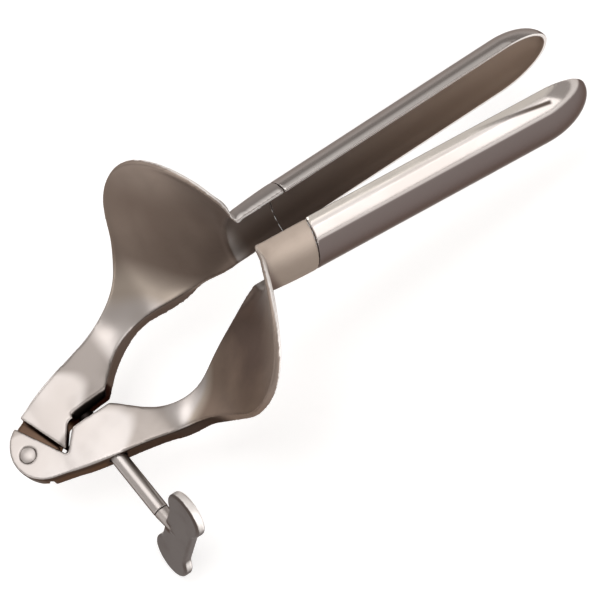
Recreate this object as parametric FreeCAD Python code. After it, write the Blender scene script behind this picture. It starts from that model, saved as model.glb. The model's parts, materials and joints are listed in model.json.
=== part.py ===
import FreeCAD, Part
import math
import os

from FreeCAD import Matrix, Vector

# A bivalve speculum: two trough blades with flared flanges on twisted arms,
# a riveted lap joint, and a wing screw that pushes the arms apart.
# Millimetres. +X runs from the lap joint towards the blades, +Y is the way
# the upper valve opens, +Z is the pivot axis. The origin is on the pivot
# axis, on the rear face of the lap joint. A valve is drawn closed, on the +Y
# side of the mirror plane; the lower valve is built there too and mirrored.

# Pose
REST_HALF_ANGLE = 2.6

# Lap joint
JOINT_THICK = 7.2
LAP_CLEARANCE = 0.1
END_RADIUS = 11.0
END_REACH = 5.0
SHOULDER_TOP = (4.4, 12.0)
SHOULDER_CORNER = (9.9, -6.2)
SHOULDER_MEET_X = 15.4
CHEEK_TOP = (0.4, 10.0)
CHEEK_CORNER = (10.1, -6.7)
CHEEK_MEET_X = 15.6
REAR_SHOULDER_TOP = (-1.0, 12.0)
REAR_CHEEK_TOP = (-1.5, 9.5)
REAR_CHEEK_MEET_X = 14.0
PARTING_HALF_GAP = 0.25

# Rivet
RIVET_RADIUS = 1.9
RIVET_HEAD_RADIUS = 2.5
RIVET_HEAD_SINK = 1.0
RIVET_HEAD_RISE = 0.4
RUNNING_FIT = 0.05

# Blades: an inclined half-elliptic trough with a rounded nose
BLADE_WALL = 1.3
BLADE_HALF_WIDTH = 13.5
BLADE_DEPTH = 8.8
BLADE_DROP_DEG = 14.1
BLADE_ROOT = (86.9, 32.5)
RIM_OFFSET = 0.3
SEAM_REACH = 17.0
NOSE_START = 98.0
NOSE_LENGTH = 16.8
ROOT_DEPTH_SHARE = 0.85

# Top face of a flange arm, one row for each forging station from the lap
# joint to the mouth of the trough: near edge, crown, far edge, the wall under
# the near edge and under the far edge, and how far the far wall's foot stands out
ARM_STATIONS = [
    ((8.0, 12.0, 7.2), (8.0, 3.0, 7.2), (8.0, -6.0, 7.2), 7.2, 7.2, 0.0),
    ((20.0, 15.2, 7.4), (20.0, 5.1, 7.4), (20.0, -5.0, 7.4), 7.2, 7.2, 0.0),
    ((31.6, 17.3, 6.8), (31.0, 9.5, 6.7), (30.5, 1.7, 6.6), 7.2, 6.8, 1.2),
    ((41.3, 19.9, 7.4), (41.0, 15.0, 6.4), (40.5, 9.6, 5.4), 5.8, 6.8, 2.4),
    ((50.3, 23.4, 12.0), (51.0, 17.4, 8.8), (51.5, 11.5, 5.8), 4.0, 5.8, 2.4),
    ((58.0, 30.0, 19.8), (59.5, 20.0, 14.5), (60.0, 9.0, 9.9), 2.8, 4.4, 1.9),
    ((63.8, 37.3, 32.5), (67.0, 21.5, 23.5), (67.5, 6.1, 14.0), 2.4, 3.2, 1.8),
    ((76.5, 34.2, 48.9), (76.0, 19.5, 33.5), (74.5, 3.6, 17.2), 2.2, 2.4, 1.5),
    ((85.9, 16.0, 52.3), (82.5, 12.5, 34.0), (79.5, 1.6, 19.2), 1.8, 1.8, 0.2),
]

# Fineness of the forged faces
ROWS_PER_STATION = 4
ROOT_ROWS = 8
SECTION_STEPS = 10

# Bevel on the upper arm's front inner edge, over the screw
PAD_START_X = 17.4
PAD_END_X = 31.0
PAD_BEVEL_WIDTH = 1.7
PAD_BEVEL_HEIGHT = 3.0

# Thumb screw, in the lower arm
SCREW_X = 20.5
SCREW_LEAN_DEG = 5.9
SCREW_HEIGHT = 3.6
SCREW_RADIUS = 2.5
SCREW_TIP_RADIUS = 6.0
SCREW_END = 36.8
TIP_CLEARANCE = 0.1
SPIGOT_RADIUS = 1.0
SPIGOT_LENGTH = 3.0

# Thumb wing
WING_CENTRE = 46.2
WING_THICK = 3.2
WING_LOBE_RADIUS = 7.3
WING_LOBE_OFFSET = 15.0
WING_NECK_HALF = 5.6
WING_NECK_FILLET = 5.0
WING_BEVEL = 0.5
WING_TURN_DEG = 21.0
WING_CANT_DEG = -5.0
HUB_CLEARANCE = 0.1

FAR_OUT = 160.0

ORIGIN = Vector(0, 0, 0)
UP = Vector(0, 0, 1)
SIDEWAYS = Vector(0, 1, 0)
ALONG = Vector(1, 0, 0)
END_CENTRE_X = END_RADIUS - END_REACH
BLADE_DROP = math.radians(BLADE_DROP_DEG)
BLADE_ALONG = Vector(math.cos(BLADE_DROP), 0, -math.sin(BLADE_DROP))
BLADE_ACROSS = Vector(math.sin(BLADE_DROP), 0, math.cos(BLADE_DROP))


def blade_axis(reach):
    """Point on the trough's axis, in the plane of its rims."""
    return Vector(BLADE_ROOT[0], RIM_OFFSET, BLADE_ROOT[1]) + BLADE_ALONG * reach


def trough_station(reach, depth_share):
    """Inside of the trough as a forging station."""
    middle = blade_axis(reach)
    side = BLADE_ACROSS * (BLADE_HALF_WIDTH - BLADE_WALL)
    crown = middle + SIDEWAYS * (BLADE_DEPTH - BLADE_WALL) * depth_share
    return middle + side, crown, middle - side, BLADE_WALL, BLADE_WALL, 0.0


def guide(points, params):
    curve = Part.BSplineCurve()
    curve.interpolate(Points=[Vector(*p) for p in points], Parameters=params)
    return curve


def half_ellipse(near, crown, far):
    """Points of a half ellipse from the near edge over the crown."""
    centre = (near + far) / 2
    across = (near - far) / 2
    bulge = crown - centre
    turns = [math.pi * i / SECTION_STEPS for i in range(SECTION_STEPS + 1)]
    return [centre + across * math.cos(a) + bulge * math.sin(a) for a in turns]


def neighbours(items, index):
    return items[max(index - 1, 0)], items[min(index + 1, len(items) - 1)]


def underside(grid, walls, first_trough_row):
    """Grid points moved through the wall, square to the face, with the far foot standing out."""
    last = len(grid[0]) - 1
    moved = []
    for i, row in enumerate(grid):
        behind, ahead = neighbours(grid, i)
        moved_row = []
        for j, point in enumerate(row):
            before, after = neighbours(row, j)
            normal = (ahead[j] - behind[j]).cross(after - before)
            if i >= first_trough_row:
                normal -= BLADE_ALONG * normal.dot(BLADE_ALONG)
            near_wall, far_wall, foot = walls[i]
            share = j / last
            wall = near_wall + (far_wall - near_wall) * share
            moved_row.append(point + normal.normalize() * wall - SIDEWAYS * foot * share)
        moved.append(moved_row)
    return moved


def spline_face(grid):
    surface = Part.BSplineSurface()
    surface.interpolate(grid)
    return surface


def edge_strip(one, other):
    """Ruled face between two edges that run side by side."""
    edge = one.toShape()
    straight = Part.makeRuledSurface(edge, other.toShape())
    crossed = Part.makeRuledSurface(edge, other.toShape().reversed())
    return min(straight, crossed, key=lambda face: face.Area)


def closed_solid(faces):
    shell = Part.Shell(faces)
    shell.sewShape()
    solid = Part.Solid(shell)
    if solid.Volume < 0:
        solid.reverse()
    return solid


def forged_sheet():
    """Arm, flange and trough root as one sheet of changing thickness."""
    stations = [tuple(Vector(*p) for p in row[:3]) + row[3:] for row in ARM_STATIONS]
    stations.append(trough_station(0, ROOT_DEPTH_SHARE))
    params = [0.0]
    for one, other in zip(stations, stations[1:]):
        params.append(params[-1] + (other[1] - one[1]).Length)
    near, crown, far = [guide([s[k] for s in stations], params) for k in range(3)]

    grid = []
    walls = []
    for i in range(len(stations) - 1):
        for k in range(ROWS_PER_STATION):
            share = k / ROWS_PER_STATION
            t = params[i] + (params[i + 1] - params[i]) * share
            grid.append(half_ellipse(near.value(t), crown.value(t), far.value(t)))
            walls.append([one * (1 - share) + other * share
                          for one, other in zip(stations[i][3:], stations[i + 1][3:])])
    first_trough_row = len(grid)
    for k in range(ROOT_ROWS + 1):
        share = k / ROOT_ROWS
        depth_share = 1 - (1 - ROOT_DEPTH_SHARE) * (1 - share) ** 2
        station = trough_station(SEAM_REACH * share, depth_share)
        grid.append(half_ellipse(*station[:3]))
        walls.append(station[3:])

    top = spline_face(grid)
    bottom = spline_face(underside(grid, walls, first_trough_row))
    u0, u1, v0, v1 = top.bounds()
    s0, s1, t0, t1 = bottom.bounds()
    return closed_solid([
        top.toShape(),
        bottom.toShape(),
        edge_strip(top.uIso(u0), bottom.uIso(s0)),
        edge_strip(top.uIso(u1), bottom.uIso(s1)),
        edge_strip(top.vIso(v0), bottom.vIso(t0)),
        edge_strip(top.vIso(v1), bottom.vIso(t1)),
    ])


def prism(points, low, high):
    """Upright prism over a plan polygon."""
    ring = [Vector(x, y, low) for x, y in points]
    face = Part.Face(Part.makePolygon(ring + ring[:1]))
    return face.extrude(UP * (high - low))


def flipped(points):
    return [(x, -y) for x, y in points]


def territory(front_cheek):
    """Space that one valve may fill round the lap joint, where the halves pass each other."""
    beyond = [(FAR_OUT, PARTING_HALF_GAP), (FAR_OUT, FAR_OUT)]
    shoulder_meet = (SHOULDER_MEET_X, PARTING_HALF_GAP)
    behind = [(-FAR_OUT, FAR_OUT), (-FAR_OUT, -CHEEK_TOP[1])]
    if front_cheek:
        front = flipped([CHEEK_TOP, CHEEK_CORNER]) + [(CHEEK_MEET_X, PARTING_HALF_GAP)] + beyond + behind
        rear = [REAR_SHOULDER_TOP, shoulder_meet] + beyond + [(REAR_SHOULDER_TOP[0], FAR_OUT)]
    else:
        front = [SHOULDER_TOP, SHOULDER_CORNER, shoulder_meet] + beyond + [(SHOULDER_TOP[0], FAR_OUT)]
        rear = flipped([REAR_CHEEK_TOP]) + [(REAR_CHEEK_MEET_X, PARTING_HALF_GAP)] + beyond + behind
    slit_low = (JOINT_THICK - LAP_CLEARANCE) / 2
    slit_high = (JOINT_THICK + LAP_CLEARANCE) / 2
    shared = prism(front, slit_low, slit_high).common(prism(rear, slit_low, slit_high))
    return prism(rear, -FAR_OUT, slit_low).fuse([prism(front, slit_high, FAR_OUT), shared])


def joint_plate():
    """Flat end of both arms, with the rounded end of the lap joint."""
    end = Part.makeCylinder(END_RADIUS, JOINT_THICK, Vector(END_CENTRE_X, 0, 0))
    (x0, y0, _), (x1, y1, _) = ARM_STATIONS[0][0], ARM_STATIONS[1][0]
    slope = math.atan2(y1 - y0, x1 - x0)
    tangent = (END_CENTRE_X - END_RADIUS * math.sin(slope), END_RADIUS * math.cos(slope))
    side = [tangent, (x1, y1)]
    return end.fuse(prism(side + flipped(side)[::-1], 0, JOINT_THICK))


def rivet_space(shank_clearance, head_clearance):
    """Shank and both sunk heads of the rivet, with room to turn."""
    shank = Part.makeCylinder(RIVET_RADIUS + shank_clearance, JOINT_THICK)
    head_radius = RIVET_HEAD_RADIUS + head_clearance
    rear = Part.makeCylinder(head_radius, RIVET_HEAD_SINK)
    front = Part.makeCylinder(head_radius, RIVET_HEAD_SINK, UP * (JOINT_THICK - RIVET_HEAD_SINK))
    return shank.fuse([rear, front])


def flange_arm(front_cheek):
    body = joint_plate().fuse(forged_sheet()).common(territory(front_cheek))
    play = 0 if front_cheek else RUNNING_FIT
    return body.cut(rivet_space(play, play))


def pad_bevel():
    """Wedge cut from the upper arm's front inner edge."""
    slope = Vector(0, PAD_BEVEL_WIDTH, PAD_BEVEL_HEIGHT)
    foot = Vector(PAD_START_X, PARTING_HALF_GAP, JOINT_THICK - PAD_BEVEL_HEIGHT)
    low = foot - slope
    high = foot + slope * 2
    corner = Vector(PAD_START_X, low.y, high.z)
    face = Part.Face(Part.makePolygon([low, high, corner, low]))
    return face.extrude(ALONG * (PAD_END_X - PAD_START_X))


def half_ellipse_face(half_width, depth):
    high = UP * half_width
    ellipse = Part.Ellipse(high, SIDEWAYS * depth, ORIGIN)
    arc = Part.ArcOfEllipse(ellipse, 0, math.pi).toShape()
    return Part.Face(Part.Wire([arc, Part.makeLine(-high, high)]))


def nose(half_width, depth, length):
    """Quarter of a flattened ball that rounds off a trough."""
    stretch = Matrix()
    stretch.scale(length, depth, half_width)
    return Part.makeSphere(1, ORIGIN, UP, -90, 90, 90).transformGeometry(stretch)


def blade():
    """Trough from the seam to its nose, with a wall of even thickness."""
    outer = (BLADE_HALF_WIDTH, BLADE_DEPTH)
    inner = (BLADE_HALF_WIDTH - BLADE_WALL, BLADE_DEPTH - BLADE_WALL)
    length = ALONG * (NOSE_START - SEAM_REACH)
    trough = half_ellipse_face(*outer).cut(half_ellipse_face(*inner)).extrude(length)
    end = nose(*outer, NOSE_LENGTH).cut(nose(*inner, NOSE_LENGTH - BLADE_WALL))
    end.translate(length)
    trough = trough.fuse(end)
    trough.rotate(ORIGIN, SIDEWAYS, BLADE_DROP_DEG)
    trough.translate(blade_axis(SEAM_REACH))
    return trough


def pivot_rivet():
    body = rivet_space(0, 0)
    for base, way in ((UP * JOINT_THICK, 1), (ORIGIN, -1)):
        body = body.fuse(rivet_dome(base, way))
    return body


def rivet_dome(base, way):
    """Low round cap on a rivet head."""
    radius = (RIVET_HEAD_RADIUS ** 2 + RIVET_HEAD_RISE ** 2) / (2 * RIVET_HEAD_RISE)
    ball = Part.makeSphere(radius, base + UP * way * (RIVET_HEAD_RISE - radius))
    room = Part.makeCylinder(RIVET_HEAD_RADIUS + 1, RIVET_HEAD_RISE + 1, base, UP * way)
    return ball.common(room)


def along_screw(shape):
    """Moves a shape drawn along +Z from the origin onto the screw's axis."""
    shape.rotate(ORIGIN, ALONG, 90)
    shape.rotate(ORIGIN, UP, SCREW_LEAN_DEG)
    shape.translate(Vector(SCREW_X, 0, SCREW_HEIGHT))
    return shape


def screw_bore():
    reach = SCREW_END + WING_CENTRE
    return along_screw(Part.makeCylinder(SCREW_RADIUS + RUNNING_FIT, reach, UP * -reach / 2))


def tip_centre():
    """Distance of the domed tip's centre beyond the mirror plane, at rest."""
    opening = math.radians(2 * REST_HALF_ANGLE)
    across = PARTING_HALF_GAP - TIP_CLEARANCE - SCREW_TIP_RADIUS + SCREW_X * math.sin(opening)
    return across / math.cos(math.radians(SCREW_LEAN_DEG) - opening)


def thumb_screw():
    """Shank from the upper arm's pad to the wing's hub, with its spigot."""
    centre = tip_centre()
    reach = centre + SCREW_TIP_RADIUS
    shank = Part.makeCylinder(SCREW_RADIUS, SCREW_END + reach, UP * -reach)
    dome = Part.makeSphere(SCREW_TIP_RADIUS, UP * -centre)
    tip_length = SCREW_TIP_RADIUS - math.sqrt(SCREW_TIP_RADIUS ** 2 - SCREW_RADIUS ** 2)
    tip = Part.makeCylinder(SCREW_RADIUS, tip_length, UP * -reach)
    shank = shank.cut(tip.cut(dome))
    spigot = Part.makeCylinder(SPIGOT_RADIUS, SPIGOT_LENGTH, UP * SCREW_END)
    return along_screw(shank.fuse(spigot))


def on_neck(edge):
    """Whether an edge runs through the wing's thickness where a lobe meets the neck."""
    off_axis = abs(edge.CenterOfMass.z - WING_CENTRE)
    return edge.BoundBox.YLength > WING_THICK / 2 and abs(off_axis - WING_NECK_HALF) < WING_BEVEL


def thumb_wing():
    half = WING_THICK / 2
    centre = UP * WING_CENTRE - SIDEWAYS * half
    plate = Part.makeBox(2 * WING_LOBE_OFFSET, WING_THICK, 2 * WING_NECK_HALF,
                         centre - ALONG * WING_LOBE_OFFSET - UP * WING_NECK_HALF)
    lobes = [Part.makeCylinder(WING_LOBE_RADIUS, WING_THICK, centre + ALONG * way, SIDEWAYS)
             for way in (-WING_LOBE_OFFSET, WING_LOBE_OFFSET)]
    plate = plate.fuse(lobes).removeSplitter()
    necks = [e for e in plate.Edges if on_neck(e)]
    plate = plate.makeFillet(WING_NECK_FILLET, necks)
    rims = [e for e in plate.Edges if e.BoundBox.YLength < half]
    plate = plate.makeChamfer(WING_BEVEL, rims)
    plate.rotate(UP * WING_CENTRE, SIDEWAYS, WING_CANT_DEG)
    hub_start = SCREW_END + HUB_CLEARANCE
    hub = Part.makeCone(SCREW_RADIUS, half, WING_CENTRE - hub_start, UP * hub_start)
    body = plate.fuse(hub)
    socket = Part.makeCylinder(SPIGOT_RADIUS + RUNNING_FIT, SPIGOT_LENGTH + HUB_CLEARANCE,
                               UP * SCREW_END)
    body = body.cut(socket)
    body.rotate(ORIGIN, UP, 90 - WING_TURN_DEG)
    return along_screw(body)


def mirrored(shape):
    return shape.mirror(ORIGIN, SIDEWAYS)


def save(name, shape, rest_angle):
    shape.rotate(ORIGIN, UP, rest_angle)
    shape.exportStep("parts/" + name + ".step")


os.makedirs("parts", exist_ok=True)
save("upper_flange_arm", flange_arm(False).cut(pad_bevel()), REST_HALF_ANGLE)
save("upper_blade", blade(), REST_HALF_ANGLE)
lower_arm = mirrored(flange_arm(True)).cut(screw_bore())
save("lower_flange_arm", lower_arm, -REST_HALF_ANGLE)
save("lower_blade", mirrored(blade()), -REST_HALF_ANGLE)
save("pivot_rivet", pivot_rivet(), -REST_HALF_ANGLE)
save("thumb_screw", thumb_screw(), -REST_HALF_ANGLE)
save("thumb_wing", thumb_wing(), -REST_HALF_ANGLE)
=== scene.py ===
import json
import math

import bpy
from mathutils import Matrix, Vector

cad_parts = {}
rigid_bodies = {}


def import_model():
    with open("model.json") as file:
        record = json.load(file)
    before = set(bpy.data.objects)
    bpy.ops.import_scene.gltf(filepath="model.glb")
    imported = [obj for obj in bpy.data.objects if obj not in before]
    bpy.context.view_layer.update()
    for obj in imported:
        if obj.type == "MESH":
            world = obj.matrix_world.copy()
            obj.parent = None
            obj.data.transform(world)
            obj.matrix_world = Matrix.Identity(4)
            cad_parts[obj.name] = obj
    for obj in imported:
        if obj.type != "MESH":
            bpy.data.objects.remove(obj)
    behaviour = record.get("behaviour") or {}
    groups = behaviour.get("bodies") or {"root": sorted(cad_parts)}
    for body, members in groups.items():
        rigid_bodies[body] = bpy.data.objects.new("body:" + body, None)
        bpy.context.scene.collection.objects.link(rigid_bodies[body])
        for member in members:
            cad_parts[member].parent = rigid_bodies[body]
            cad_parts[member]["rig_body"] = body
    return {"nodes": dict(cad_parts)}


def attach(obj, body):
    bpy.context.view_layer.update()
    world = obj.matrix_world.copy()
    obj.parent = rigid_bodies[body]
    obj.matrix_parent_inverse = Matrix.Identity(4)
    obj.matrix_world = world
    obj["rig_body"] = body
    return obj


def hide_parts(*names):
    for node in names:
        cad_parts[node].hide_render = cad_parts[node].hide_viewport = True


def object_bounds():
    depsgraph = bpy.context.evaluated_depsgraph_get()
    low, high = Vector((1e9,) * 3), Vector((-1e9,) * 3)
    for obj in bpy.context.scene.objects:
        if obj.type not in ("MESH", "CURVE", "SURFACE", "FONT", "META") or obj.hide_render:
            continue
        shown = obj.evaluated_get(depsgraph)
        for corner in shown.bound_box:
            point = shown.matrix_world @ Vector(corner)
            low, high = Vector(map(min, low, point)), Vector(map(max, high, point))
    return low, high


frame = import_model()
cad_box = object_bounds()
nodes = frame["nodes"]

# Lengths are in metres. A side is 1 for the upper half of the speculum and -1 for the lower.
# A pair of values is where a tint starts to pass into the next one, and where it has done so.

# Camera, standing where the photograph was taken from
CAMERA_PLACE = Vector((0.0692, -0.3345, 0.8450))
CAMERA_BACK = Vector((-0.02552, -0.35960, 0.93277))
CAMERA_RIGHT = Vector((0.80528, -0.56026, -0.19396))
CAMERA_UP = Vector((0.59233, 0.74619, 0.30387))
CAMERA_LENS_MM = 182.2
CAMERA_SENSOR_MM = 36.0
CAMERA_CLIP_START = 0.01

# Trough of a closed valve: a point on its axis, its slope, and the turn to the rest pose
TROUGH_POINT = Vector((0.0869, 0.0003, 0.0325))
TROUGH_DROP = math.radians(14.1)
REST_TURN = math.radians(2.6)
NOSE_START = 0.098

# Rounding of the edges: fineness of the rebuilt skin and how often it is smoothed
ARM_SKIN = (0.00040, 11)
BLADE_SKIN = (0.00031, 8)
RIVET_SKIN = (0.00014, 4)
SCREW_SKIN = (0.00022, 3)
WING_SKIN = (0.00026, 7)
DOUBLES = 0.000001

# Bare steel: its two greys, its tint at a glancing angle, and the size of its clouds
STEEL = (0.57, 0.53, 0.51)
STEEL_SHADE = (0.50, 0.455, 0.43)
EDGE_SHEEN = (0.45, 0.41, 0.39)
CLOUD_SCALE = 38.0
CLOUD_EDGE = (0.35, 0.7)

# Brushed grain and dull smears on every piece
GRAIN_SCALE = 260.0
GRAIN_HEIGHT = 0.00002
GRAIN_STRENGTH = 0.10
GRAIN_DULLNESS = 0.06
SMEAR_SCALE = 95.0
SMEAR_EDGE = (0.45, 0.75)
SMEAR_DULLNESS = 0.09
ALONG_X = (1.0, 14.0, 14.0)
ALONG_Y = (14.0, 1.0, 14.0)
NO_LAY = (5.0, 5.0, 5.0)

# Arm: the buffed flat ends in a round bend painted grey as shade, then comes the bright twist,
# painted beige as a lighter shade
BEND_PAINTED_SHADE = {1: (0.27, 0.24, 0.222), -1: (0.36, 0.32, 0.295)}
TWIST_PAINTED_SHADE = (0.43, 0.365, 0.31)
FLAT_MIDDLE = 0.009
FLAT_ROUNDING = 120.0
BEND_START = {1: (0.0235, 0.0285), -1: (0.0290, 0.0340)}
BEND_END = {1: (0.039, 0.034), -1: (0.044, 0.039)}
TWIST_HEIGHT = {1: (0.0075, 0.0110), -1: (0.0078, 0.0092)}
ARM_GLOSS = 0.28

# Painted shade on the arm's walls, up to the height where the flange takes over; the shank's sides
# take the same shade
SIDE_PAINTED_SHADE = {1: (0.12, 0.092, 0.078), -1: (0.065, 0.047, 0.039)}
SIDE_SHADE_LEAN = (0.85, 0.4)
SIDE_SHADE_HEIGHT = (0.018, 0.012)

# Flange: painted brown as shade from this height up, with a darker painted shade in its mouth,
# painted lighter at its top, and uneven stains
FLANGE_PAINTED_SHADE = {1: (0.20, 0.155, 0.128), -1: (0.27, 0.205, 0.165)}
FLANGE_MOUTH_SHADE = {1: (0.165, 0.125, 0.103), -1: (0.165, 0.125, 0.108)}
FLANGE_TOP_LIGHT = (0.29, 0.235, 0.20)
FLANGE_HEIGHT = {1: (0.0115, 0.0185), -1: (0.0088, 0.0112)}
FLANGE_MOUTH = (0.058, 0.074)
FLANGE_TOP = (0.034, 0.052)
FLANGE_DULLNESS = 0.12
STAIN_SCALE = 90.0
STAIN_STRETCH = (1, 1, 0.3)
STAIN_STRENGTH = 1.8

# Painted highlights on narrow edges: how far they face out and up, or towards the other valve
RIM_HIGHLIGHT = (0.92, 0.88, 0.85)
RIM_OUT = (-0.05, 0.3)
RIM_UP = (-0.1, 0.2)
RIM_LEAN = (0.75, 0.45)
RIM_INWARD = (0.5, 0.8)

# Root of the trough, which is one piece with the arm: where it starts along X. Its inside is painted
# as shade; on the lower valve its outside is dulled and painted beige as a reflection, darker as
# shade on its steeper faces
ROOT_START = (0.088, 0.091)
ROOT_INSIDE_START = (0.078, 0.090)
ROOT_INSIDE_WALL = (0.35, 0.1)
ROOT_OUTSIDE_WALL = (0.15, 0.4)
ROOT_PAINTED_REFLECTION = (0.56, 0.475, 0.41)
ROOT_PAINTED_SHADE = (0.35, 0.29, 0.245)
ROOT_SHADE_LEAN = (0.2, 0.65)
SATIN_DULLNESS = 0.22

# Blades: painted shade on the sides, a lighter painted shade on the upper blade's top, and one
# painted highlight along the edge near the camera
BLADE_SIDE_SHADE = (0.145, 0.118, 0.111)
BLADE_TOP_SHADE = (0.30, 0.27, 0.255)
BLADE_TOP_LEAN = (0.46, 0.54)
BLADE_GLOSS = {1: 0.22, -1: 0.13}
UPPER_EDGE_HIGHLIGHT = (0.66, 0.625, 0.60)
UPPER_EDGE_LEAN = (0.90, 0.955)
LOWER_EDGE_HIGHLIGHT = (0.93, 0.87, 0.80)
LOWER_EDGE_LEAN = (0.86, 0.94)

# Inside of the troughs: dull, and painted dark as shade, lighter towards the tip
INSIDE_SHADE_ROOT = (0.140, 0.103, 0.083)
INSIDE_SHADE_TIP = (0.33, 0.245, 0.19)
INSIDE_FADE = (0.095, 0.185)
INSIDE_WALL = (-0.3, -0.6)
INSIDE_UNPOLISHED = 0.75
INSIDE_DULLNESS = 0.25

# Dark streak painted on the lower blade as a reflection: its slope, its half width, and where it
# fades in and stops
STREAK_PAINTED_REFLECTION = (0.060, 0.046, 0.038)
STREAK_SLOPE = 0.1135
STREAK_OFFSET = 0.0070
STREAK_HALF_WIDTH = (0.0008, 0.0002)
STREAK_FADE = (0.070, 0.094)
STREAK_STOP = (0.0996, 0.0984)
STREAK_HEIGHT = (0.0, 0.001)

# Lap joint: its groove painted brown as shade and grime, with the depth of its floor below the front
# face
GROOVE_SHADE_AND_GRIME = (0.12, 0.075, 0.052)
LAP_FLOOR = (0.0051, 0.0045)
LAP_FLOOR_UP = (-0.2, 0.1)
LAP_START = (-0.002, 0.0)
LAP_END = (0.018, 0.017)
LAP_HALF_WIDTH = (0.0095, 0.0085)
LAP_WALL_LEAN = (0.5, 0.2)

# The two pads that face each other beside the screw, painted black as the shade between them
GAP_PAINTED_SHADE = (0.018, 0.014, 0.013)
PAD_START = (0.0145, 0.0165)
PAD_END = (0.0322, 0.0312)
PAD_HALF_GAP = (0.0045, 0.0035)
PAD_LEAN = (0.7, 0.4)

# Screw: a point on its axis, its direction, and its tip between the pads, painted black as shade
SCREW_POINT = Vector((0.02048, -0.00093, 0.0036))
SCREW_ALONG = Vector((0.05756, -0.99834, 0.0))
SCREW_TIP = (-0.0045, -0.0025)
SCREW_GLOSS = 0.26
SHANK_LEAN = (0.2, 0.9)

# Rivet and wing; the wing's hub carries on the shank's finish
RIVET_FACE = (0.6, 0.99)
RIVET_GLOSS = 0.3
WING_BROWN = (0.085, 0.065, 0.057)
WING_GLOSS = 0.42
WING_METAL = 0.25
HUB_RADIUS = (0.0034, 0.0030)
HUB_END = (-0.0450, -0.0436)

# Studio: floor below the instrument's lowest point, how white it reads, and the room
FLOOR_PLACE = (0.08, 0.0)
FLOOR_DROP = 0.0015
FLOOR_SIZE = 6.0
FLOOR_TINT = (0.85, 0.85, 0.85)
FLOOR_GLOW = 0.42
ROOM_TINT = (0.56, 0.54, 0.525)

# Lamps: name, place, what it is aimed at, width, height and power in watts
LAMPS = (
    ("overhead softbox", (0.07, 0.27, 0.78), (0.06, 0.0, 0.01), 0.75, 0.50, 1.5),
    ("front softbox", (0.40, -0.85, 0.36), (0.12, 0.0, 0.01), 0.80, 0.66, 2.5),
    ("high front softbox", (0.37, -0.52, 0.72), (0.12, 0.0, 0.01), 0.60, 0.46, 0.8),
    ("high spot", (0.04, 0.02, 0.90), (0.04, 0.02, 0.0), 0.20, 0.20, 0.30),
    ("back spot", (-0.157, 0.79, 0.344), (0.045, -0.019, 0.007), 0.30, 0.24, 0.60),
    ("left softbox", (-0.75, -0.10, 0.45), (0.06, 0.0, 0.01), 0.40, 0.40, 0.6),
)


class Nodes:
    """Adds and links the shader nodes of one material."""

    def __init__(self, name):
        self.material = bpy.data.materials.new(name)
        self.material.use_nodes = True
        self.tree = self.material.node_tree
        self.tree.nodes.clear()

    def add(self, kind, inputs=None, **settings):
        node = self.tree.nodes.new(kind)
        for name, value in settings.items():
            setattr(node, name, value)
        for name, value in (inputs or {}).items():
            self.feed(node.inputs[name], value)
        return node

    def feed(self, socket, value):
        if isinstance(value, bpy.types.NodeSocket):
            self.tree.links.new(value, socket)
        elif socket.type == "RGBA":
            socket.default_value = (*value, 1)
        else:
            socket.default_value = value

    def maths(self, operation, *values, clamp=False):
        node = self.add("ShaderNodeMath", dict(enumerate(values)), operation=operation)
        node.use_clamp = clamp
        return node.outputs[0]

    def both(self, *masks):
        """One only where every mask is one."""
        product = masks[0]
        for mask in masks[1:]:
            product = self.maths("MULTIPLY", product, mask)
        return product

    def vector(self, operation, one, other):
        return self.add("ShaderNodeVectorMath", {0: one, 1: other}, operation=operation).outputs[0]

    def share(self, vector, direction):
        """How much of the vector goes in the direction."""
        node = self.add("ShaderNodeVectorMath", {0: vector, 1: direction}, operation="DOT_PRODUCT")
        return node.outputs["Value"]

    def length(self, vector):
        return self.add("ShaderNodeVectorMath", {0: vector}, operation="LENGTH").outputs["Value"]

    def scaled(self, vector, factor):
        node = self.add("ShaderNodeVectorMath", {0: vector, "Scale": factor}, operation="SCALE")
        return node.outputs[0]

    def parts(self, vector):
        return self.add("ShaderNodeSeparateXYZ", {"Vector": vector}).outputs

    def between(self, value, start, end, low=0.0, high=1.0):
        """Smooth step from low at start to high at end."""
        node = self.add("ShaderNodeMapRange", {"Value": value, "From Min": start, "From Max": end,
                                               "To Min": low, "To Max": high},
                        interpolation_type="SMOOTHSTEP")
        return node.outputs[0]

    def mixed(self, factor, one, other):
        node = self.add("ShaderNodeMix", data_type="RGBA")
        self.feed(node.inputs[0], factor)
        self.feed(node.inputs[6], one)
        self.feed(node.inputs[7], other)
        return node.outputs[2]

    def noise(self, place, stretch, scale, detail):
        mapping = self.add("ShaderNodeMapping", {"Vector": place, "Scale": stretch})
        node = self.add("ShaderNodeTexNoise", {"Vector": mapping.outputs[0], "Scale": scale,
                                               "Detail": detail})
        return node.outputs[0]


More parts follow.
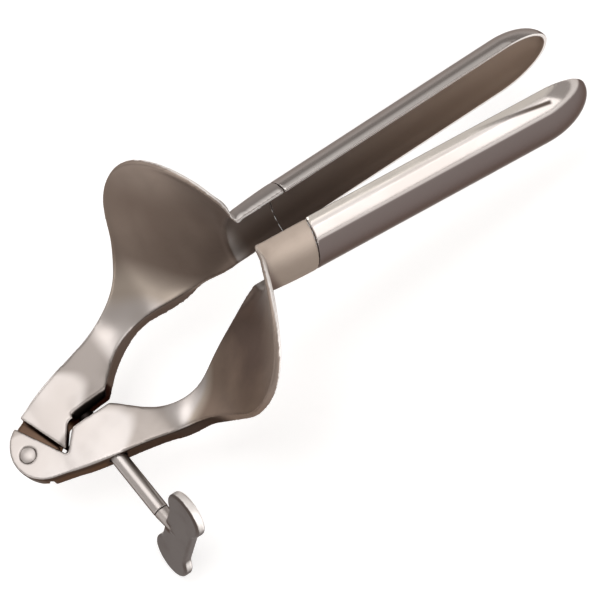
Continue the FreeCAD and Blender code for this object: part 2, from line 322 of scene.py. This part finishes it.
class Steel(Nodes):
    """A steel material, with the place, facing and grain that every finish starts from."""

    def __init__(self, name, gloss, lay):
        super().__init__(name)
        where = self.add("ShaderNodeTexCoord").outputs
        self.place = where["Object"]
        self.normal = where["Normal"]
        self.x, self.y, self.z = self.parts(self.place)
        self.out, self.sideways, self.up = self.parts(self.normal)
        self.flat = self.maths("ABSOLUTE", self.up)
        self.grain = self.noise(self.place, lay, GRAIN_SCALE, 6.0)
        smears = self.noise(self.place, (1, 1, 1), SMEAR_SCALE, 5.0)
        dull = self.between(smears, *SMEAR_EDGE, low=gloss, high=gloss + SMEAR_DULLNESS)
        self.rough = self.maths("ADD", dull, self.maths("MULTIPLY", self.grain, GRAIN_DULLNESS))

    def dulled(self, mask, amount):
        self.rough = self.maths("ADD", self.rough, self.maths("MULTIPLY", mask, amount))

    def finished(self, tint, metal=1.0):
        bump = self.add("ShaderNodeBump", {"Height": self.grain, "Strength": GRAIN_STRENGTH,
                                           "Distance": GRAIN_HEIGHT})
        steel = self.add("ShaderNodeBsdfPrincipled",
                         {"Base Color": tint, "Metallic": metal, "Roughness": self.rough,
                          "Specular Tint": EDGE_SHEEN, "Normal": bump.outputs[0]})
        self.add("ShaderNodeOutputMaterial", {"Surface": steel.outputs[0]})
        return self.material


def trough_turn(side):
    """Turn from a level trough along +X to the sloping trough of one valve at rest."""
    return Matrix.Rotation(REST_TURN * side, 3, "Z") @ Matrix.Rotation(TROUGH_DROP, 3, "Y")


def trough_start(side):
    place = Vector((TROUGH_POINT.x, TROUGH_POINT.y * side, TROUGH_POINT.z))
    return Matrix.Rotation(REST_TURN * side, 3, "Z") @ place


def trough_wall_side(steel, side):
    """Below zero on the inside of a trough and above zero on its outside."""
    along = trough_turn(side) @ Vector((1, 0, 0))
    from_start = steel.vector("SUBTRACT", steel.place, trough_start(side))
    reach = steel.maths("MINIMUM", steel.share(from_start, along), NOSE_START)
    radial = steel.vector("SUBTRACT", from_start, steel.scaled(along, reach))
    outward = steel.vector("NORMALIZE", radial, Vector())
    return steel.share(outward, steel.normal)


def trough_rim(steel, wall, side):
    """One on the narrow edges of a trough, which face the other valve."""
    return steel.both(steel.between(steel.maths("ABSOLUTE", wall), *RIM_LEAN),
                      steel.between(steel.maths("MULTIPLY", steel.sideways, -side), *RIM_INWARD))


def facing_out_and_up(steel):
    """One on the edges that look towards the blades and up."""
    return steel.both(steel.between(steel.out, *RIM_OUT), steel.between(steel.up, *RIM_UP))


def cloudy_steel(steel):
    clouds = steel.noise(steel.place, (1, 1, 1), CLOUD_SCALE, 3.0)
    return steel.mixed(steel.between(clouds, *CLOUD_EDGE), STEEL_SHADE, STEEL)


def inside_shade(steel):
    return steel.mixed(steel.between(steel.x, *INSIDE_FADE), INSIDE_SHADE_ROOT, INSIDE_SHADE_TIP)


def inside_metal(steel, inside):
    """The inside is left unpolished, so less of its shine is a mirror's."""
    return steel.maths("SUBTRACT", 1.0, steel.maths("MULTIPLY", inside, INSIDE_UNPOLISHED))


def joint_shade_and_grime(steel, tint):
    """Lap groove painted brown as shade and grime, and the pads beside the screw painted black as the
    shade between them.
    """
    middle = steel.maths("ABSOLUTE", steel.y)
    floor = steel.both(steel.between(steel.z, *LAP_FLOOR), steel.between(steel.up, *LAP_FLOOR_UP))
    walls = steel.both(steel.between(steel.flat, *LAP_WALL_LEAN),
                       steel.between(middle, *LAP_HALF_WIDTH))
    groove = steel.both(steel.between(steel.x, *LAP_END), steel.between(steel.x, *LAP_START),
                        steel.maths("MAXIMUM", floor, walls))
    pads = steel.both(steel.between(steel.flat, *PAD_LEAN), steel.between(middle, *PAD_HALF_GAP),
                      steel.between(steel.x, *PAD_START), steel.between(steel.x, *PAD_END))
    return steel.mixed(pads, steel.mixed(groove, tint, GROOVE_SHADE_AND_GRIME), GAP_PAINTED_SHADE)


def flange_shade_and_stains(steel, side):
    """Flange painted brown as shade, with uneven stains, a darker painted shade towards its mouth,
    and painted lighter at its top.
    """
    stains = steel.noise(steel.place, STAIN_STRETCH, STAIN_SCALE, 3.0)
    uneven = steel.maths("MULTIPLY_ADD", stains, STAIN_STRENGTH, -STAIN_STRENGTH / 2)
    mouth_shade_and_stains = steel.maths("ADD", steel.between(steel.x, *FLANGE_MOUTH), uneven, clamp=True)
    brown = steel.mixed(mouth_shade_and_stains, FLANGE_PAINTED_SHADE[side], FLANGE_MOUTH_SHADE[side])
    return steel.mixed(steel.between(steel.z, *FLANGE_TOP), brown, FLANGE_TOP_LIGHT)


def arm_tint(steel, flange, side):
    """Bright flat, then painted shade: a grey bend, a beige twist, a brown flange with stains and
    painted highlights on its edges, and dark walls.
    """
    off = steel.maths("SUBTRACT", steel.y, FLAT_MIDDLE * side)
    rounding = steel.maths("MULTIPLY", steel.maths("MULTIPLY", off, off), FLAT_ROUNDING)
    rounded_x = steel.maths("ADD", steel.x, rounding)
    bend = steel.both(steel.between(rounded_x, *BEND_START[side]),
                      steel.between(steel.x, *BEND_END[side]))
    tint = steel.mixed(bend, cloudy_steel(steel), BEND_PAINTED_SHADE[side])
    tint = steel.mixed(steel.between(steel.z, *TWIST_HEIGHT[side]), tint, TWIST_PAINTED_SHADE)
    tint = steel.mixed(flange, tint, flange_shade_and_stains(steel, side))
    tint = steel.mixed(steel.both(flange, facing_out_and_up(steel)), tint, RIM_HIGHLIGHT)
    # The arm's walls that turn sideways are painted dark as shade.
    side_shade = steel.both(steel.between(steel.flat, *SIDE_SHADE_LEAN),
                        steel.between(steel.z, *SIDE_SHADE_HEIGHT))
    return steel.mixed(side_shade, tint, SIDE_PAINTED_SHADE[side])


def upper_outside(steel):
    """Outside of the upper trough: its top in a lighter painted shade, with a painted highlight along
    its near edge.
    """
    return steel.mixed(steel.between(steel.flat, *UPPER_EDGE_LEAN), BLADE_TOP_SHADE, UPPER_EDGE_HIGHLIGHT)


def lower_outside(steel):
    """Mirror-bright outside of the lower trough, with a painted tan highlight along its near edge and
    a dark streak painted as a reflection.
    """
    edge = steel.between(steel.flat, *LOWER_EDGE_LEAN)
    tint = steel.mixed(edge, cloudy_steel(steel), LOWER_EDGE_HIGHLIGHT)
    from_start = steel.vector("SUBTRACT", steel.place, trough_start(-1))
    along, across, upright = trough_turn(-1).col
    reach = steel.share(from_start, along)
    slant = steel.maths("ADD", steel.share(from_start, across),
                        steel.maths("MULTIPLY", reach, STREAK_SLOPE))
    off = steel.maths("ABSOLUTE", steel.maths("SUBTRACT", slant, STREAK_OFFSET))
    streak = steel.both(steel.between(reach, *STREAK_FADE), steel.between(reach, *STREAK_STOP),
                        steel.between(off, *STREAK_HALF_WIDTH),
                        steel.between(steel.share(from_start, upright), *STREAK_HEIGHT))
    return steel.mixed(streak, tint, STREAK_PAINTED_REFLECTION)


def arm_steel(name, side):
    """Buffed arm and flange, with the trough's root behind them: its inside painted as shade, a
    painted highlight on its rim, and on the lower half its outside dulled and painted beige as a
    reflection with painted shade.
    """
    steel = Steel(name, ARM_GLOSS, ALONG_X)
    flange = steel.between(steel.z, *FLANGE_HEIGHT[side])
    tint = arm_tint(steel, flange, side)
    wall = trough_wall_side(steel, side)
    root = steel.between(steel.x, *ROOT_START)
    inside = steel.both(steel.between(wall, *ROOT_INSIDE_WALL),
                        steel.between(steel.x, *ROOT_INSIDE_START))
    tint = steel.mixed(inside, tint, inside_shade(steel))
    outside = steel.both(steel.between(wall, *ROOT_OUTSIDE_WALL), root)
    if side < 0:
        # The root's outside on the lower half is painted beige as a reflection, darker as shade on
        # its steeper faces.
        root_reflection = steel.mixed(steel.between(steel.flat, *ROOT_SHADE_LEAN), ROOT_PAINTED_SHADE, ROOT_PAINTED_REFLECTION)
        tint = steel.mixed(outside, tint, root_reflection)
        steel.dulled(outside, SATIN_DULLNESS)
    else:
        tint = steel.mixed(outside, tint, upper_outside(steel))
    tint = steel.mixed(steel.both(trough_rim(steel, wall, side), root), tint, RIM_HIGHLIGHT)
    steel.dulled(flange, FLANGE_DULLNESS)
    return steel.finished(joint_shade_and_grime(steel, tint), inside_metal(steel, inside))


def blade_steel(name, side):
    """Polished outside with painted shade on its sides, dull inside painted as shade, and a painted
    highlight on the rim between them.
    """
    steel = Steel(name, BLADE_GLOSS[side], ALONG_X)
    outside = lower_outside(steel) if side < 0 else upper_outside(steel)
    tint = steel.mixed(steel.between(steel.flat, *BLADE_TOP_LEAN), BLADE_SIDE_SHADE, outside)
    wall = trough_wall_side(steel, side)
    inside = steel.between(wall, *INSIDE_WALL)
    tint = steel.mixed(inside, tint, inside_shade(steel))
    tint = steel.mixed(trough_rim(steel, wall, side), tint, RIM_HIGHLIGHT)
    steel.dulled(inside, INSIDE_DULLNESS)
    return steel.finished(tint, inside_metal(steel, inside))


# Faces of the shank that turn sideways are painted darker as shade.
def shank_tint(steel):
    return steel.mixed(steel.between(steel.flat, *SHANK_LEAN), SIDE_PAINTED_SHADE[-1], cloudy_steel(steel))


def shank_distance(steel):
    """Distance from the screw's axis."""
    from_point = steel.vector("SUBTRACT", steel.place, SCREW_POINT)
    along = steel.scaled(SCREW_ALONG, steel.share(from_point, SCREW_ALONG))
    return steel.length(steel.vector("SUBTRACT", from_point, along))


def screw_steel(name):
    """Turned shank, its sides painted darker as shade, with its tip between the pads painted black as
    shade.
    """
    steel = Steel(name, SCREW_GLOSS, ALONG_Y)
    tip = steel.between(steel.y, *SCREW_TIP)
    return steel.finished(steel.mixed(tip, shank_tint(steel), GAP_PAINTED_SHADE))


def rivet_steel(name):
    """Bright domed head, with its sloping edge painted grey as shade."""
    steel = Steel(name, RIVET_GLOSS, NO_LAY)
    face = steel.between(steel.flat, *RIVET_FACE)
    return steel.finished(steel.mixed(face, BEND_PAINTED_SHADE[1], cloudy_steel(steel)))


def wing_steel(name):
    """Dull brown faces with painted highlights on their edges, and a hub that matches the shank, its
    sides painted darker as shade.
    """
    steel = Steel(name, WING_GLOSS, NO_LAY)
    edge = facing_out_and_up(steel)
    hub = steel.both(steel.between(shank_distance(steel), *HUB_RADIUS),
                     steel.between(steel.y, *HUB_END))
    tint = steel.mixed(hub, steel.mixed(edge, WING_BROWN, RIM_HIGHLIGHT), shank_tint(steel))
    metal = steel.between(steel.maths("MAXIMUM", edge, hub), 0.0, 1.0, low=WING_METAL, high=1.0)
    return steel.finished(tint, metal)


def buffed_piece(node, skin, material, lie=Matrix.Identity(3)):
    """The piece with its sharp edges rounded; it is laid level while its skin is rebuilt."""
    fineness, passes = skin
    piece = bpy.data.objects.new(node + "_buffed", nodes[node].data.copy())
    bpy.context.scene.collection.objects.link(piece)
    bpy.ops.object.select_all(action="DESELECT")
    piece.select_set(True)
    bpy.context.view_layer.objects.active = piece
    bpy.ops.object.mode_set(mode="EDIT")
    bpy.ops.mesh.select_all(action="SELECT")
    bpy.ops.mesh.remove_doubles(threshold=DOUBLES)
    bpy.ops.object.mode_set(mode="OBJECT")
    piece.data.transform(lie.inverted().to_4x4())
    remesh = piece.modifiers.new("skin", "REMESH")
    remesh.mode = "VOXEL"
    remesh.voxel_size = fineness
    bpy.ops.object.modifier_apply(modifier="skin")
    smooth = piece.modifiers.new("buffing", "SMOOTH")
    smooth.factor = 0.5
    smooth.iterations = passes
    bpy.ops.object.modifier_apply(modifier="buffing")
    bpy.ops.object.shade_smooth()
    piece.data.transform(lie.to_4x4())
    piece.data.materials.clear()
    piece.data.materials.append(material)
    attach(piece, nodes[node]["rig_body"])
    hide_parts(node)


def floor_material():
    """Pale card that reads white to the camera and in the steel, and keeps the soft shadow."""
    floor = Nodes("pale floor")
    rays = floor.add("ShaderNodeLightPath").outputs
    seen = floor.maths("ADD", rays["Is Camera Ray"], rays["Is Glossy Ray"])
    seen = floor.maths("ADD", seen, rays["Is Transmission Ray"], clamp=True)
    card = floor.add("ShaderNodeBsdfDiffuse", {"Color": FLOOR_TINT})
    glow = floor.add("ShaderNodeEmission", {"Color": (1, 1, 1),
                                            "Strength": floor.maths("MULTIPLY", seen, FLOOR_GLOW)})
    sum_of_both = floor.add("ShaderNodeAddShader", {0: card.outputs[0], 1: glow.outputs[0]})
    floor.add("ShaderNodeOutputMaterial", {"Surface": sum_of_both.outputs[0]})
    return floor.material


def studio_floor():
    height = cad_box[0][2] - FLOOR_DROP
    bpy.ops.mesh.primitive_plane_add(size=FLOOR_SIZE, location=(*FLOOR_PLACE, height))
    floor = bpy.context.object
    floor.name = "studio_floor"
    floor.data.materials.append(floor_material())


def softbox(name, place, aim, width, height, power):
    lamp = bpy.data.lights.new(name, "AREA")
    lamp.shape = "RECTANGLE"
    lamp.size = width
    lamp.size_y = height
    lamp.energy = power
    box = bpy.data.objects.new(name, lamp)
    box.location = place
    box.rotation_euler = (Vector(aim) - Vector(place)).to_track_quat("-Z", "Y").to_euler()
    bpy.context.scene.collection.objects.link(box)


def studio_room():
    room = bpy.data.worlds.new("studio room")
    bpy.context.scene.world = room
    room.use_nodes = True
    room.node_tree.nodes["Background"].inputs["Color"].default_value = (*ROOM_TINT, 1)
    room.node_tree.nodes["Background"].inputs["Strength"].default_value = 1.0


def photo_camera():
    lens = bpy.data.cameras.new("photo camera")
    lens.lens = CAMERA_LENS_MM
    lens.sensor_width = CAMERA_SENSOR_MM
    lens.clip_start = CAMERA_CLIP_START
    camera = bpy.data.objects.new("photo camera", lens)
    turn = Matrix((CAMERA_RIGHT, CAMERA_UP, CAMERA_BACK)).transposed().to_4x4()
    camera.matrix_world = Matrix.Translation(CAMERA_PLACE) @ turn
    bpy.context.scene.collection.objects.link(camera)
    bpy.context.scene.camera = camera


buffed_piece("upper_flange_arm", ARM_SKIN, arm_steel("buffed arm steel, upper", 1))
buffed_piece("lower_flange_arm", ARM_SKIN, arm_steel("buffed arm steel, lower", -1))
buffed_piece("upper_blade", BLADE_SKIN, blade_steel("mirror blade steel, upper", 1), trough_turn(1))
buffed_piece("lower_blade", BLADE_SKIN, blade_steel("mirror blade steel, lower", -1), trough_turn(-1))
buffed_piece("pivot_rivet", RIVET_SKIN, rivet_steel("peened rivet steel"))
buffed_piece("thumb_screw", SCREW_SKIN, screw_steel("turned screw steel"))
buffed_piece("thumb_wing", WING_SKIN, wing_steel("dull wing steel"))

studio_floor()
for lamp in LAMPS:
    softbox(*lamp)
studio_room()
photo_camera()
bpy.context.scene.view_settings.view_transform = "Standard"
